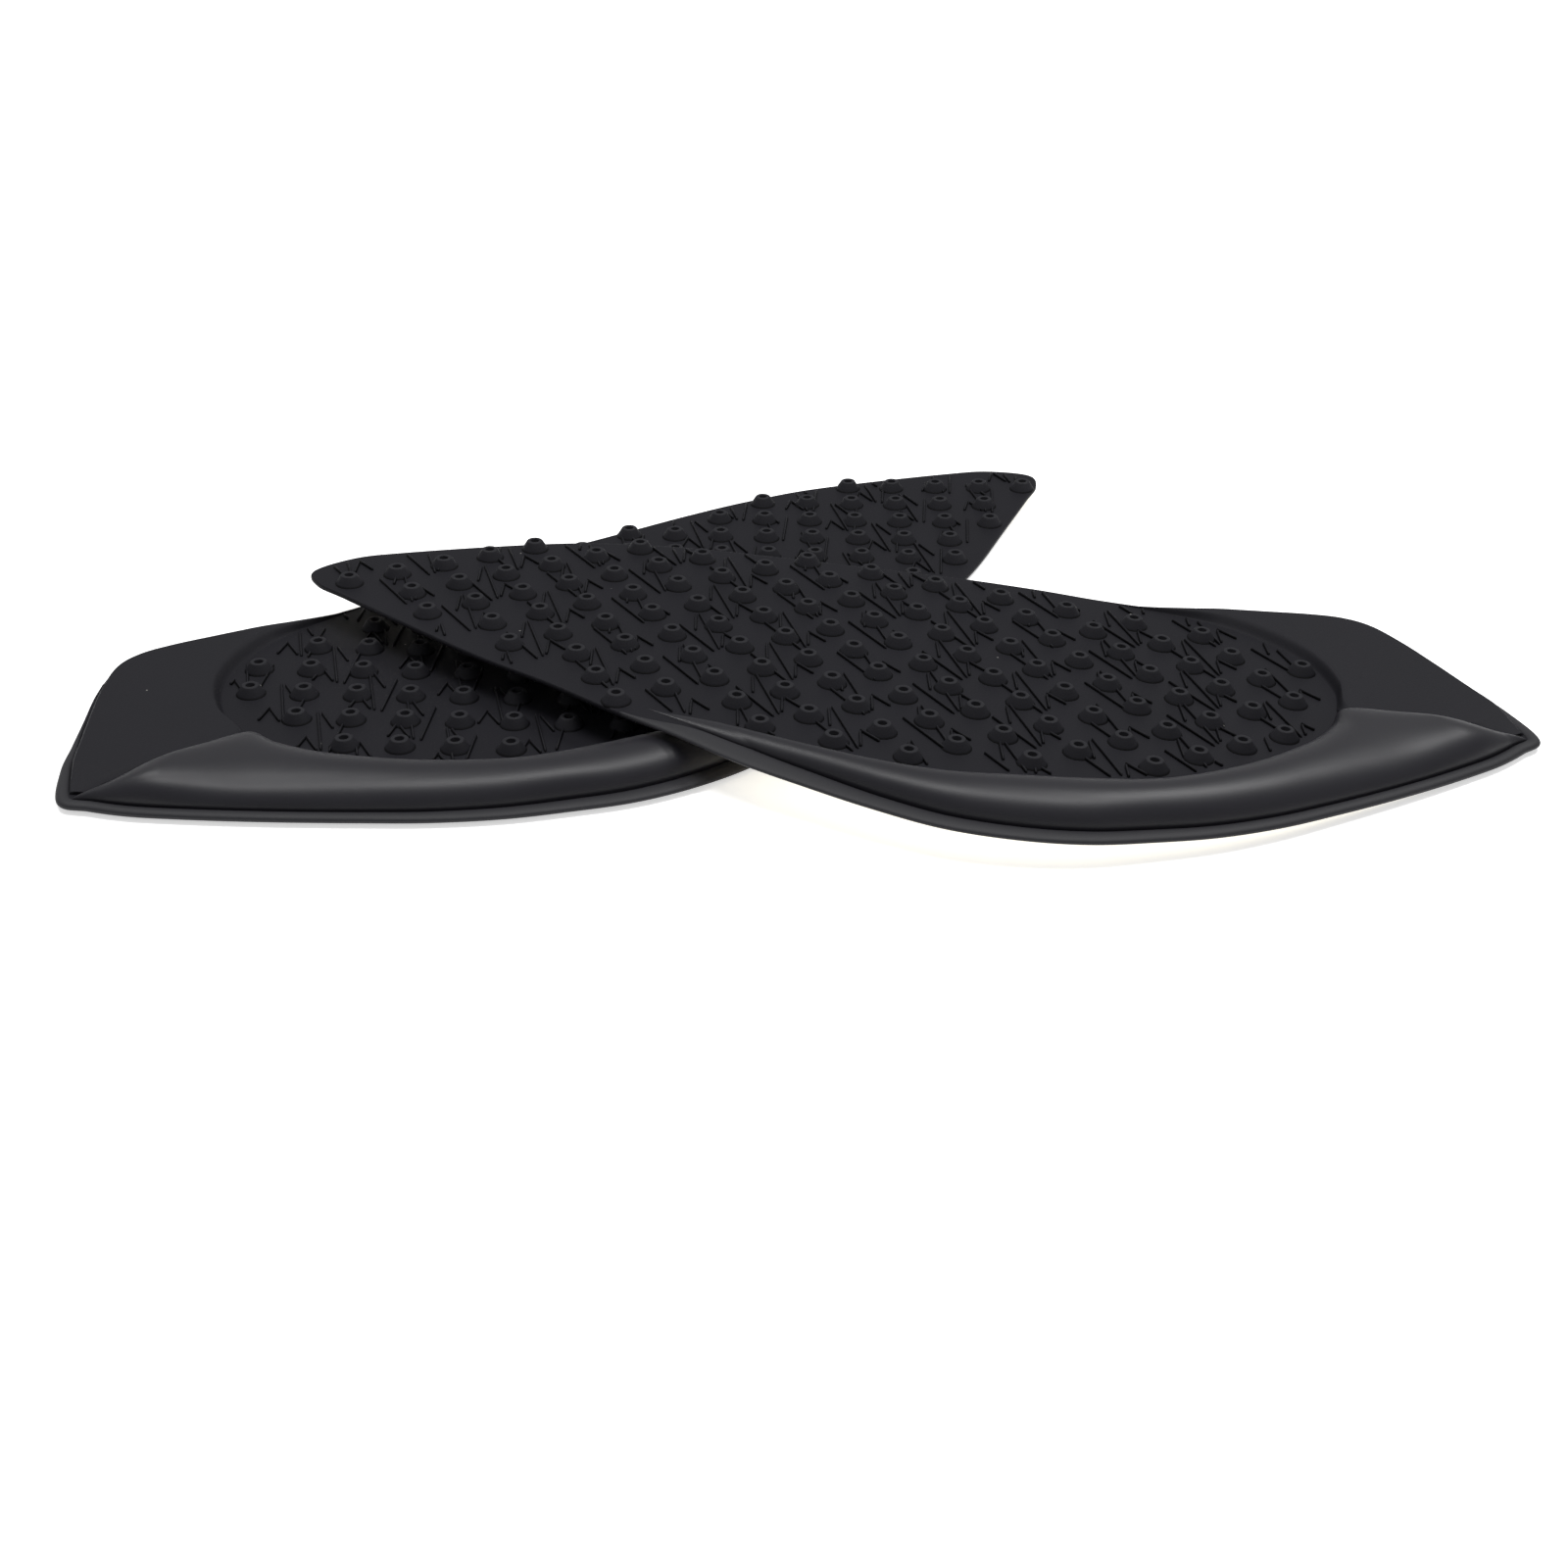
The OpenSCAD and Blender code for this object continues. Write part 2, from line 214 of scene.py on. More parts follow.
# The turned outline is centred on the base sheet's own box
for side, place in lie.items():
    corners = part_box(side + "_base_sheet")
    edge = turned(side, onOutline(np.arange(0, around, 0.25)))
    place["move"] = np.array((corners[0] + corners[1])[:2]) / 2 / mm - (edge.min(0) + edge.max(0)) / 2


# Height of a pad's underside: for the upper pad half a cosine from full height down to the table,
# and for both the square of the distance into the curled nose
def lift(side, xy):
    nose = curl[side] * np.clip(1 - xy[..., 0] / curl["length"], 0, curl["most"]) ** 2
    if side == "lower":
        return nose
    share = (xy @ np.array(drape["along"]) - drape["start"]) / (drape["end"] - drape["start"])
    return nose + drapeHeight * (1 + np.cos(np.pi * np.clip(share, 0, 1))) / 2


# Points in a pad's axes to the row frame, in metres
def lay(side, xy, z):
    flat = turned(side, xy) + lie[side]["move"]
    return np.concatenate([flat, (lift(side, xy) + z)[..., None]], -1) * mm


print("pads laid out, drape", round(drapeHeight, 2), "mm")


# ---- meshes ----

# A mesh object at the origin; the lower pad is mirrored, so its faces are turned back outward
def makePiece(side, node, places, faces, wearAndShade, material, slotName):
    if lie[side]["mirror"] < 0:
        faces = [face[:, ::-1] for face in faces]
    mesh = bpy.data.meshes.new(side + "_" + node)
    mesh.from_pydata(places.reshape(-1, 3), [], [f for face in faces for f in face.tolist()])
    mesh.polygons.foreach_set("use_smooth", np.ones(len(mesh.polygons), bool))
    mesh.attributes.new("wearAndShade", "FLOAT", "POINT").data.foreach_set("value", wearAndShade.astype(np.float32).ravel())
    mesh.materials.append(material)
    mesh.update()
    group = "_moulded_" if slotName.endswith("rubber") else "_backing_"
    piece = bpy.data.objects.new(side + group + node, mesh)
    bpy.context.scene.collection.objects.link(piece)
    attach(piece, side + ("_liner" if node == "release_liner" else "_pad"))
    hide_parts(side + "_" + node)
    return piece


# Quads between the rows of a grid of vertex numbers
def gridQuads(grid):
    return np.stack([grid[:-1, :-1], grid[1:, :-1], grid[1:, 1:], grid[:-1, 1:]], -1).reshape(-1, 4)


# Closed section loops joined along a path; each end is closed by a fan to its own middle
def sweptFaces(rows, cols):
    grid = np.arange(rows * cols).reshape(rows, cols)
    grid = np.hstack([grid, grid[:, :1]])
    first, last = rows * cols, rows * cols + 1
    start = np.stack([np.full(cols, first), grid[0, :-1], grid[0, 1:]], -1)
    end = np.stack([np.full(cols, last), grid[-1, 1:], grid[-1, :-1]], -1)
    return [gridQuads(grid), start, end]


# The loops' points in one list, with the middle of the first and last loop after them
def withEnds(loops):
    return np.vstack([loops.reshape(-1, loops.shape[-1]), loops[0].mean(0), loops[-1].mean(0)])


bead = {"from": 6.2, "to": 27.5, "grown": 1.2, "fadeFrom": 23.8, "fade": 3.4,
        "stations": 520, "height": 0.6, "around": 28, "low": 0.1,
        # how much farther in each layer's edge lies where the bead hides it
        "cover": {"base_sheet": 0.9, "adhesive_film": 1.3, "release_liner": 1.3}}


# 1 along the bead and 0 where it has died away
def beadShare(t):
    grown = smooth((t - bead["from"]) / bead["grown"])
    return grown * (1 - smooth((t - bead["fadeFrom"]) / bead["fade"]))


# A flat layer: loops round its rounded edge, and straight sections from edge to edge above and below
slab = {"ringSteps": 736, "across": 44, "edgeSteps": 5, "flatGap": 0.6}
# how far each layer's edge lies in from the outline, and the radius of its rounded edge
layers = {"release_liner": (1.1, 0.08), "adhesive_film": (1.5, 0.12), "base_sheet": (0, 0.5)}


def makeSlab(side, node, low, high, material, slotName):
    back, rounding = layers[node]
    steps, half, across = slab["ringSteps"], slab["ringSteps"] // 2, slab["across"]
    t = np.arange(steps) * around / steps
    back = back + bead["cover"][node] * beadShare(t)
    turn = np.linspace(0, np.pi / 2, slab["edgeSteps"])
    lip = rounding * (1 - np.sin(turn))
    drop = rounding * (1 - np.cos(turn))
    flatFrom = [rounding + slab["flatGap"]]
    inset = np.concatenate([flatFrom, lip, lip[::-1], flatFrom])
    height = np.concatenate([[high], high - drop, low + drop[::-1], [low]])
    loops = np.stack([inward(t, back + d) for d in inset])
    count = len(inset)
    share = np.linspace(0, 1, across + 1)[1:-1]
    inner = []
    for loop in (loops[0], loops[-1]):
        near, far = loop[1:half], loop[:half:-1]
        inner.append(near[:, None] + (far - near)[:, None] * share[:, None])
    flatCount = (half - 1) * (across - 1)
    xy = np.vstack([part.reshape(-1, 2) for part in (loops, *inner)])
    z = np.concatenate([np.repeat(height, steps), np.full(flatCount, high), np.full(flatCount, low)])
    ring = np.arange(count * steps).reshape(count, steps)
    walls = gridQuads(np.hstack([ring, ring[:, :1]]))
    faces = [walls]
    for which, loop in enumerate((ring[0], ring[-1])):
        flat = count * steps + which * flatCount + np.arange(flatCount).reshape(half - 1, across - 1)
        rows = np.hstack([loop[1:half, None], flat, loop[:half:-1, None]])
        nose = np.stack([np.full(across, loop[0]), rows[0, :-1], rows[0, 1:]], -1)
        end = np.stack([np.full(across, loop[half]), rows[-1, 1:], rows[-1, :-1]], -1)
        for face in (gridQuads(rows), nose, end):
            faces.append(face if which == 0 else face[:, ::-1])
    return makePiece(side, node, lay(side, xy, z), faces, np.zeros(len(z)), material, slotName)


# ---- knee roll ----

roll = {"from": 7.0, "to": 22.75, "stations": 420, "height": 6.0, "sink": 0.45, "back": 30,
        "flatness": 2.0, "headFlatness": 2.6, "growth": 5.5, "growthPower": 1.1,
        # stations where the roll begins to die away and where the head begins
        "fadeFrom": 20.5, "fade": 2.8, "head": 17}
panel = {"from": 12.3, "to": 22.75, "stations": 300, "height": 2.4, "step": 3.4, "creaseStep": 2.6,
         "lip": 1.1, "sink": 0.45, "pale": 0.25,
         # stations over which it rises, where its crease begins, and where it sinks towards the tip
         "rise": 2.4, "crease": 18, "tipFrom": 21.8, "tipRun": 0.95, "tipDrop": 0.7}


# Height of the roll's crest: a quarter sine from station 7, and it dies away into the tip
def rollHeight(t):
    quarter = np.pi / 2 * np.clip((t - lines["rollFrom"]) / roll["growth"], 0, 1)
    grown = np.sin(quarter) ** roll["growthPower"]
    return roll["height"] * grown * (1 - smooth((t - roll["fadeFrom"]) / roll["fade"]))


# Height of both roll and panel where they meet along the crease
def creaseHeight(t):
    return 0.6 * panel["height"] * smooth(t - panel["crease"])


# Section of the roll: half an ellipse that fills only part of its band, so that its back stays steep
def makeRoll(side, material):
    t = np.linspace(roll["from"], roll["to"], roll["stations"])
    outer, inner = groove(t), rollLine(t)
    band = np.linalg.norm(inner - outer, axis=1)
    high = rollHeight(t)
    head = smooth((t - roll["head"]) / 2)
    filled = 1 - (high / math.tan(math.radians(roll["back"])) / band) ** 2
    filled = (filled + (1 - filled) * head)[:, None]
    turn = np.linspace(np.pi, 0, 41)
    flatter = smooth((t - roll["head"]) / 3)
    flatness = (roll["flatness"] + (roll["headFlatness"] - roll["flatness"]) * flatter)[:, None]
    across = np.sign(np.cos(turn)) * np.abs(np.cos(turn)) ** (2 / flatness)
    foot = np.where(across < 0, 0.0, np.minimum(high, creaseHeight(t))[:, None])
    z = foot + (high[:, None] - foot) * np.sin(turn) - 0.02
    share = filled * (1 + across) / 2
    share = np.hstack([share, share[:, -1:], share[:, :1]])
    z = np.hstack([z, np.full((len(t), 2), -roll["sink"])]) + sheetHigh
    xy = outer[:, None] + (inner - outer)[:, None] * share[..., None]
    return makePiece(side, "knee_roll", withEnds(lay(side, xy, z)), sweptFaces(*share.shape),
                     np.zeros(share.size + 2), material, "roll_rubber")


# ---- head panel ----

# Section of the panel: an eased step up from its foot, a flat top, and a rounded lip down to the flange
def makePanel(side, material):
    t = np.linspace(panel["from"], panel["to"], panel["stations"])
    foot, rim = panelLine(t), flangeLine(t)
    width = np.linalg.norm(rim - foot, axis=1)
    step = panel["step"] + (panel["creaseStep"] - panel["step"]) * smooth((t - 18.4) / 0.8)
    step = np.minimum(step, 0.5 * width)
    lip = np.minimum(panel["lip"], 0.3 * width)
    up = np.linspace(0, 1, 14)
    flat = np.linspace(0, 1, 16)[1:]
    down = np.linspace(0, 1, 9)[1:]
    full = panel["height"] * smooth((t - lines["panelFrom"]) / panel["rise"])
    full = full * (1 - panel["tipDrop"] * smooth((t - panel["tipFrom"]) / panel["tipRun"]))
    low = np.minimum(full, creaseHeight(t) * smooth((t - 18.4) / 0.6))
    along = np.hstack([step[:, None] * up, step[:, None] + (width - lip - step)[:, None] * flat,
                       (width - lip)[:, None] + lip[:, None] * down])
    upHeight = low[:, None] + (full - low)[:, None] * smooth(up)
    downHeight = full[:, None] * np.sqrt(np.clip(1 - down**2.4, 0, 1))
    z = np.hstack([upHeight, np.repeat(full[:, None], len(flat), 1), downHeight]) - 0.02
    share = along / width[:, None]
    share = np.hstack([share, share[:, -1:], share[:, :1]])
    z = np.hstack([z, np.full((len(t), 2), -panel["sink"])]) + sheetHigh
    xy = foot[:, None] + (rim - foot)[:, None] * share[..., None]
    pale = panel["pale"]
    # paler over the panel's top, and more so down its rounded lip towards the flange
    section = np.concatenate([pale * smooth(up), np.full(len(flat), pale), 0.3 + 0.5 * down, [0, 0]])
    wearAndShade = np.concatenate([np.tile(section, len(t)), [0, 0]])
    return makePiece(side, "head_panel", withEnds(lay(side, xy, z)), sweptFaces(*share.shape),
                     wearAndShade, material, "grip_rubber")


# ---- edge bead ----

# Section of the bead: a flattened ring that wraps the sheet's edge, as wide as the flange
def makeBead(side, material):
    t = np.linspace(bead["from"], bead["to"], bead["stations"])
    share = beadShare(t)
    width = flangeFor(t) * (0.3 + 0.7 * share)
    top = sheetHigh + 0.03 + (bead["height"] - 0.03) * share
    low = sheetLow + bead["low"]
    turn = np.linspace(0, 2 * np.pi, bead["around"], endpoint=False)
    across, upright = -np.cos(turn), np.sin(turn)
    distance = width[:, None] * (0.5 + 0.5 * across)
    z = ((top + low) / 2)[:, None] + ((top - low) / 2)[:, None] * upright
    xy = onOutline(t)[:, None] + leftOf(onOutline, t)[:, None] * distance[..., None]
    return makePiece(side, "edge_bead", withEnds(lay(side, xy, z)), sweptFaces(*z.shape),
                     np.ones(z.size + 2), material, "roll_rubber")


# ---- grip studs and zigzag ribs ----

studs = {"a": (7.5, -9.1), "b": (8.7, 8.2), "upper": (100.9, 9.9), "lower": (98.4, 8.8),
         "low": 3.2, "top": 2.05, "roll": 2.8, "panel": 3.3, "segments": 18,
         # radius and height of each ring, from the fillet at the foot to the floor of the blind hole
         "profile": [(3.45, -0.2), (3.38, 0.05), (3.2, 0.24), (3.02, 0.46), (1.98, 2.14),
                     (1.82, 2.3), (1.14, 2.3), (1.0, 2.14), (0.94, 1.0)],
         # paleness of each ring, where negative values are painted shade: near black at the foot and on the
         # hole's floor, and paler up the flank and round the top, partly wear and partly painted light
         "wearAndShade": [-1, -1, -0.9, 0.25, 0.4, 0.7, 0.6, -0.2, -1]}
ribs = {"strokes": [((0.1, -6.1), (-1.9, 1.4)), ((-1.5, 2.7), (7.9, -13.8)), ((-4.2, -4.5), (7.1, -15.3)),
                    ((8.2, -12.6), (6.8, -6.6)), ((6.6, -5.7), (11.5, -9.2))],
        "a": (19.3, -9.1), "b": (1.05, -16.9), "upper": (149.9, 18.4), "lower": (148.1, 18.3),
        "width": 0.6, "height": 0.65, "margin": 0.8,
        # the least share of a stroke that is worth keeping
        "shortest": 0.25}


# True where a ray along +x from each point crosses the polygon's sides an odd number of times
def inside(points, polygon):
    a, b = polygon[None], np.roll(polygon, -1, 0)[None]
    x, y = points[:, 0, None], points[:, 1, None]
    crosses = (a[..., 1] > y) != (b[..., 1] > y)
    rise = np.where(a[..., 1] == b[..., 1], 1, b[..., 1] - a[..., 1])
    return (crosses & (x < a[..., 0] + (b[..., 0] - a[..., 0]) * (y - a[..., 1]) / rise)).sum(1) % 2 == 1


# The field's border, with its own distance kept from the outline, the roll and the panel
def fieldLimit():
    t = np.arange(0, 19.01, 0.25)
    besideRoll = rollLine(t) + studs["roll"] * leftOf(rollLine, t)
    besidePanel = panelLine(t) - studs["panel"] * leftOf(panelLine, t)
    edge = inward(around - t, np.where(t < 1.3, studs["low"], studs["top"]))
    low = np.where((t < 6.4)[:, None], inward(t, studs["low"]), besideRoll)
    high = np.where((t < 12.2)[:, None], edge, besidePanel)
    return np.vstack([low, high[::-1]])


# The origin moved by every pair of whole steps of a and b within the two ranges
def lattice(values, side, stepsA, stepsB):
    i, j = np.meshgrid(np.arange(*stepsA), np.arange(*stepsB), indexing="ij")
    stepA, stepB = np.array(values["a"]), np.array(values["b"])
    return np.array(values[side]) + i.reshape(-1, 1) * stepA + j.reshape(-1, 1) * stepB


# The stud lattice's points whose centre is inside the field's border
def studCentres(side):
    centres = lattice(studs, side, (-8, 13), (-10, 13))
    return centres[inside(centres, fieldLimit())]


# Every stud is one profile turned about its centre, with the hole's floor closed by a fan
def makeStuds(side, material):
    centres = studCentres(side)
    radius, height = np.array(studs["profile"]).T
    turn = np.linspace(0, 2 * np.pi, studs["segments"], endpoint=False)
    ring = np.stack([np.cos(turn), np.sin(turn)], -1)
    single = radius[:, None, None] * ring
    rings, segments = len(radius), len(turn)
    each = rings * segments + 2
    xy = centres[:, None, None] + single[None]
    base = lift(side, centres)[:, None, None] + height[None, :, None] + sheetHigh + np.zeros((1, 1, segments))
    slope = lift(side, xy) - lift(side, centres)[:, None, None]
    z = base + slope - lift(side, xy)
    middleXy = np.repeat(centres[:, None], 2, 1)
    middleZ = np.repeat(sheetHigh + height[[0, -1]][None], len(centres), 0)
    xy = np.concatenate([xy.reshape(len(centres), -1, 2), middleXy], 1)
    z = np.concatenate([z.reshape(len(centres), -1), middleZ], 1)
    grid = np.arange(rings * segments).reshape(rings, segments)
    grid = np.hstack([grid, grid[:, :1]])
    walls = gridQuads(grid)[:, ::-1]
    under = np.stack([np.full(segments, each - 2), grid[0, 1:], grid[0, :-1]], -1)
    floor = np.stack([np.full(segments, each - 1), grid[-1, :-1], grid[-1, 1:]], -1)
    start = (np.arange(len(centres)) * each)[:, None, None]
    faces = [(start + part[None]).reshape(-1, part.shape[1]) for part in (walls, under, floor)]
    wearAndShade = np.concatenate([np.repeat(studs["wearAndShade"], segments), [0, 0]])
    print(side, "studs", len(centres))
    return makePiece(side, "grip_studs", lay(side, xy, z), faces, np.tile(wearAndShade, len(centres)),
                     material, "grip_rubber")


# Strokes of the motif at each place of their lattice, cut short where they leave the field
def ribStrokes(side):
    at = lattice(ribs, side, (-9, 7), (-9, 10))
    strokes = (at[:, None, None] + np.array(ribs["strokes"])[None]).reshape(-1, 2, 2)
    t = np.arange(0.5, 19.01, 0.25)
    gap = ribs["margin"]
    low = np.where((t < 6.4)[:, None], inward(t, 2 * gap), rollLine(t) + gap * leftOf(rollLine, t))
    high = np.where((t < 12)[:, None], inward(around - t, 2 * gap), panelLine(t) - gap * leftOf(panelLine, t))
    border = np.vstack([low, high[::-1]])
    share = np.linspace(0, 1, 21)
    samples = strokes[:, :1] + (strokes[:, 1:] - strokes[:, :1]) * share[:, None]
    within = inside(samples.reshape(-1, 2), border).reshape(len(strokes), -1)
    first = within.argmax(1)
    last = len(share) - 1 - within[:, ::-1].argmax(1)
    keep = within.any(1) & (share[last] - share[first] > ribs["shortest"])
    index = np.arange(len(strokes))
    return np.stack([samples[index, first], samples[index, last]], 1)[keep]


# A rib is a ridge with a rounded back: one section of seven points at five places along its stroke
def makeRibs(side, material):
    strokes = ribStrokes(side)
    run = strokes[:, 1] - strokes[:, 0]
    length = np.linalg.norm(run, axis=1)
    across = np.stack([-run[:, 1], run[:, 0]], -1) / length[:, None]
    share = np.array([0, 0.03, 0.5, 0.97, 1])
    size = np.array([0.3, 1, 1, 1, 0.3])
    sideways = np.array([-0.5, -0.46, -0.26, 0, 0.26, 0.46, 0.5]) * ribs["width"]
    upward = np.array([-0.4, 0.62, 0.95, 1, 0.95, 0.62, -0.4]) * ribs["height"]
    xy = strokes[:, None, None, 0] + run[:, None, None] * share[None, :, None, None]
    xy = xy + across[:, None, None] * (size[:, None] * sideways)[None, ..., None]
    z = np.broadcast_to(sheetHigh + np.where(upward > 0, size[:, None] * upward, upward), xy.shape[:-1])
    rows, cols = len(share), len(sideways)
    each = rows * cols
    grid = np.arange(each).reshape(rows, cols)
    closed = np.hstack([grid, grid[:, :1]])
    ends = np.stack([grid[0], grid[-1, ::-1]])
    start = (np.arange(len(strokes)) * each)[:, None, None]
    faces = [(start + part[None]).reshape(-1, part.shape[1]) for part in (gridQuads(closed), ends)]
    # Painted shade: near black down both sides of each rib, and its back a little paler
    wearAndShade = np.tile([-1, -1, -0.3, 0.2, -0.3, -1, -1], len(strokes) * rows)
    print(side, "ribs", len(strokes))
    return makePiece(side, "zigzag_ribs", lay(side, xy, z), faces, wearAndShade, material, "grip_rubber")


# ---- finishes ----

# A socket that takes part in sums: arithmetic adds Math nodes, and node() adds any other node
class Wire:
    def __init__(self, tree, socket=None):
        self.tree, self.socket = tree, socket

    def node(self, kind, settings, sockets, output=0):
        made = self.tree.nodes.new(kind)
        for name, value in settings.items():
            setattr(made, name, value)
        for name, value in sockets.items():
            if isinstance(value, Wire):
                self.tree.links.new(value.socket, made.inputs[name])
            else:
                made.inputs[name].default_value = value
        return Wire(self.tree, made.outputs[output])

    def sum(self, operation, a, b):
        return self.node("ShaderNodeMath", {"operation": operation}, {0: a, 1: b})

    def __add__(self, other):
        return self.sum("ADD", self, other)

    def __sub__(self, other):
        return self.sum("SUBTRACT", self, other)

    def __rsub__(self, other):
        return self.sum("SUBTRACT", other, self)

    def __mul__(self, other):
        return self.sum("MULTIPLY", self, other)

    def __gt__(self, other):
        return self.sum("GREATER_THAN", self, other)

    def __lt__(self, other):
        return self.sum("LESS_THAN", self, other)

    __radd__, __rmul__ = __add__, __mul__


# An empty material and a wire to its node tree
def newMaterial(name):
    material = bpy.data.materials.new(name)
    material.use_nodes = True
    material.node_tree.nodes.clear()
    return material, Wire(material.node_tree)


# Noise from 0 to 1, so many cells to a metre
def noise(wire, place, scale, detail=2.0):
    return wire.node("ShaderNodeTexNoise", {}, {"Vector": place, "Scale": scale, "Detail": detail}, "Fac")


# Colour a blended into b by a share from 0 to 1
def mixed(wire, share, a, b):
    return wire.node("ShaderNodeMix", {"data_type": "RGBA"}, {"Factor": share, "A": a, "B": b}, 2)


# The shader joined to the surface output
def finishMaterial(wire, shader):
    out = wire.tree.nodes.new("ShaderNodeOutputMaterial")
    wire.tree.links.new(shader.socket, out.inputs["Surface"])


gripRubber = {"name": "grip_rubber", "dark": (0.0062, 0.0061, 0.0084, 1),
              "light": (0.0101, 0.0098, 0.0132, 1), "edge": (0.032, 0.032, 0.036, 1), "edgeShare": 0.5,
              "roughness": 0.6, "vary": 0.12, "dulling": 0, "specular": 0.12,
              "grain": 2600, "grainDepth": 0.00006, "dust": 0.9}
rollRubber = {"name": "roll_rubber", "dark": (0.0082, 0.0078, 0.0112, 1),
              "light": (0.0116, 0.0112, 0.0152, 1), "edge": (0.016, 0.016, 0.0185, 1), "edgeShare": 0.5,
              "roughness": 0.39, "vary": 0.08, "dulling": 0.2, "specular": 0.34,
              "grain": 3400, "grainDepth": 0.00002, "dust": 0.93}
# near-black painted shade for the studs' feet and holes and the ribs' sides
paintedShade = {"colour": (0.0008, 0.0008, 0.001, 1), "share": 0.9}
speck = {"colour": (0.3, 0.29, 0.27, 1), "share": 0.6, "scale": 210, "radius": 0.045}


# Moulded rubber: cloudy black and fine grain. Where the vertex attribute is positive it is paler and duller,
# partly wear on rims and edges and partly painted light on the studs' flanks. Where it is negative it is
# painted shade, near black, at the studs' feet, in their holes and down the ribs' sides. A grain of dust sits
# in the few cells whose random number is above the dust value
def makeRubber(values):
    material, wire = newMaterial(values["name"])
    place = wire.node("ShaderNodeTexCoord", {}, {}, "Object")
    wearAndShadeFac = wire.node("ShaderNodeAttribute", {"attribute_name": "wearAndShade"}, {}, "Fac")
    cloud = noise(wire, place, 55, 4)
    grain = noise(wire, place, values["grain"], 2)
    colour = mixed(wire, cloud, values["dark"], values["light"])
    # Paler where the attribute is positive: partly wear, partly painted light on the studs' flanks
    colour = mixed(wire, wearAndShadeFac * values["edgeShare"], colour, values["edge"])
    # Painted shade: near black where the attribute is negative
    colour = mixed(wire, wearAndShadeFac * -paintedShade["share"], colour, paintedShade["colour"])
    cells = wire.node("ShaderNodeTexVoronoi", {}, {"Vector": place, "Scale": speck["scale"]}, "Distance")
    pick = wire.node("ShaderNodeTexVoronoi", {}, {"Vector": place, "Scale": speck["scale"]}, "Color")
    chance = wire.node("ShaderNodeSeparateColor", {}, {"Color": pick}, "Red")
    dust = (cells < speck["radius"]) * (chance > values["dust"])
    colour = mixed(wire, dust * speck["share"], colour, speck["colour"])
    rough = (cloud - 0.5) * values["vary"] + (grain - 0.5) * 0.1
    rough = rough + wearAndShadeFac * values["dulling"] + values["roughness"]
    bump = wire.node("ShaderNodeBump", {}, {
        "Height": grain, "Distance": values["grainDepth"], "Strength": 0.6}, "Normal")
    shader = wire.node("ShaderNodeBsdfPrincipled", {}, {
        "Base Color": colour, "Roughness": rough, "Normal": bump,
        "Specular IOR Level": values["specular"]}, 0)
    finishMaterial(wire, shader)
    return material


paper = {"pale": (0.86, 0.82, 0.7, 1), "tan": (0.74, 0.68, 0.53, 1), "roughness": 0.55}
glue = {"pale": (0.6, 0.6, 0.58, 1), "grey": (0.48, 0.48, 0.47, 1), "roughness": 0.35}


# Release liner: paper fibres as noise drawn out along one way, under a thin silicone sheen
def makePaper():
    material, wire = newMaterial("liner")
    place = wire.node("ShaderNodeTexCoord", {}, {}, "Object")
    drawn = wire.node("ShaderNodeMapping", {}, {"Vector": place, "Scale": (160, 1500, 400)}, 0)
    fibre = noise(wire, drawn, 1, 3)
    colour = mixed(wire, fibre, paper["tan"], paper["pale"])
    bump = wire.node("ShaderNodeBump", {}, {"Height": fibre, "Distance": 0.00003, "Strength": 0.5}, "Normal")
    shader = wire.node("ShaderNodeBsdfPrincipled", {}, {
        "Base Color": colour, "Roughness": (fibre - 0.5) * 0.2 + paper["roughness"], "Normal": bump}, 0)
    finishMaterial(wire, shader)
    return material


# Adhesive film: pale grey acrylic with small cells, a little glossier than paper
def makeGlue():
    material, wire = newMaterial("adhesive")
    place = wire.node("ShaderNodeTexCoord", {}, {}, "Object")
    cells = wire.node("ShaderNodeTexVoronoi", {}, {"Vector": place, "Scale": 900}, "Distance")
    cloud = noise(wire, place, 120, 3)
    colour = mixed(wire, cloud, glue["grey"], glue["pale"])
    bump = wire.node("ShaderNodeBump", {}, {"Height": cells, "Distance": 0.00005, "Strength": 0.6}, "Normal")
    shader = wire.node("ShaderNodeBsdfPrincipled", {}, {
        "Base Color": colour, "Roughness": (cloud - 0.5) * 0.2 + glue["roughness"], "Normal": bump}, 0)
    finishMaterial(wire, shader)
    return material


# ---- pieces ----

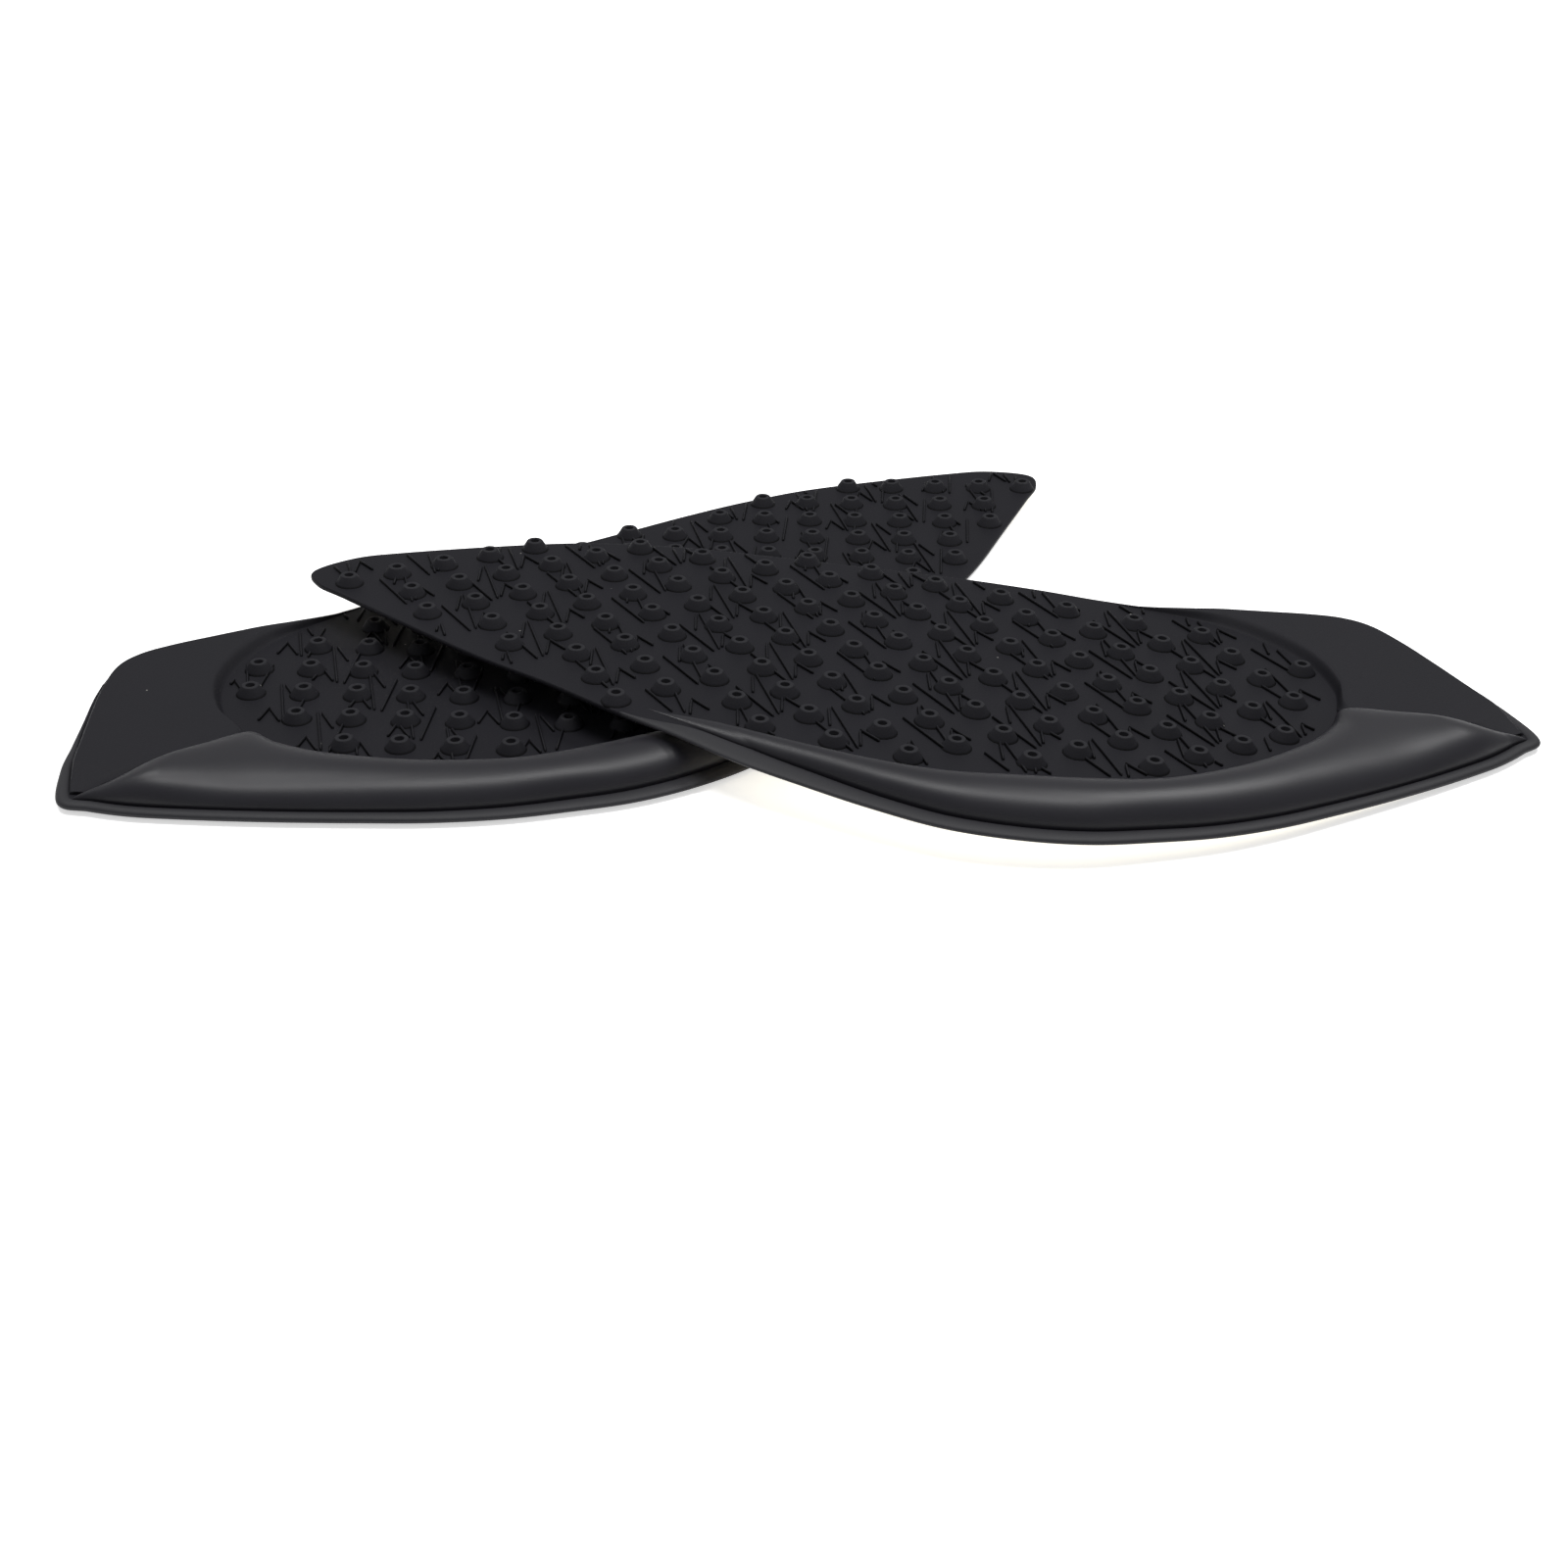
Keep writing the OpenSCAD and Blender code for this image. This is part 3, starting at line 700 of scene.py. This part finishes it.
grip, satin, linerPaper, film = makeRubber(gripRubber), makeRubber(rollRubber), makePaper(), makeGlue()
for side in lie:
    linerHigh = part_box("lower_release_liner")[1].z / mm
    filmLow, filmHigh = (corner.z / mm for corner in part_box("lower_adhesive_film"))
    makeSlab(side, "release_liner", 0, linerHigh, linerPaper, "liner")
    makeSlab(side, "adhesive_film", filmLow, filmHigh, film, "adhesive")
    makeSlab(side, "base_sheet", sheetLow, sheetHigh, grip, "grip_rubber")
    makeBead(side, satin)
    makeRoll(side, satin)
    makePanel(side, grip)
    makeStuds(side, grip)
    makeRibs(side, grip)
    print(side, "pad made")


# ---- floor and light ----

studio = {"floor": (0.92, 0.92, 0.92, 1), "floorGlow": 0.55, "sky": 0.38}


# A matt white plane that glows a little, so that it stays white under soft light
def makeFloor():
    mesh = bpy.data.meshes.new("floor")
    mesh.from_pydata([(-6, -4, 0), (6, -4, 0), (6, 8, 0), (-6, 8, 0)], [], [(0, 1, 2, 3)])
    material, wire = newMaterial("floor")
    shader = wire.node("ShaderNodeBsdfPrincipled", {}, {
        "Base Color": studio["floor"], "Roughness": 0.8, "Specular IOR Level": 0.1,
        "Emission Color": (1, 1, 1, 1), "Emission Strength": studio["floorGlow"]}, 0)
    finishMaterial(wire, shader)
    mesh.materials.append(material)
    floor = bpy.data.objects.new("floor", mesh)
    bpy.context.scene.collection.objects.link(floor)


# where each softbox hangs, its two sides in metres and its power in watts
softboxes = [
    ((-0.36, -0.02, 1.2), (0.2, 0.3), 2.6),
    ((-0.02, -0.02, 1.2), (0.26, 0.3), 3.2),
    ((0.34, 0.04, 1.2), (0.24, 0.3), 3),
    ((0.62, 0.5, 1.15), (0.34, 0.34), 5.5),
    ((-0.6, 0.5, 1.15), (0.3, 0.3), 3),
]


# Softboxes that all face the origin, under an even white sky
def makeLights():
    for number, (place, size, power) in enumerate(softboxes):
        lamp = bpy.data.lights.new("softbox%d" % number, "AREA")
        lamp.shape, lamp.size, lamp.size_y, lamp.energy = "RECTANGLE", size[0], size[1], power
        box = bpy.data.objects.new("softbox%d" % number, lamp)
        box.location = place
        box.rotation_euler = (-Vector(place)).to_track_quat("-Z", "Y").to_euler()
        bpy.context.scene.collection.objects.link(box)
    world = bpy.data.worlds.new("studio")
    world.use_nodes = True
    background = world.node_tree.nodes["Background"].inputs
    background["Color"].default_value = (1, 1, 1, 1)
    background["Strength"].default_value = studio["sky"]
    bpy.context.scene.world = world
    bpy.context.scene.view_settings.view_transform = "Standard"


makeFloor()
makeLights()
print("studio made")
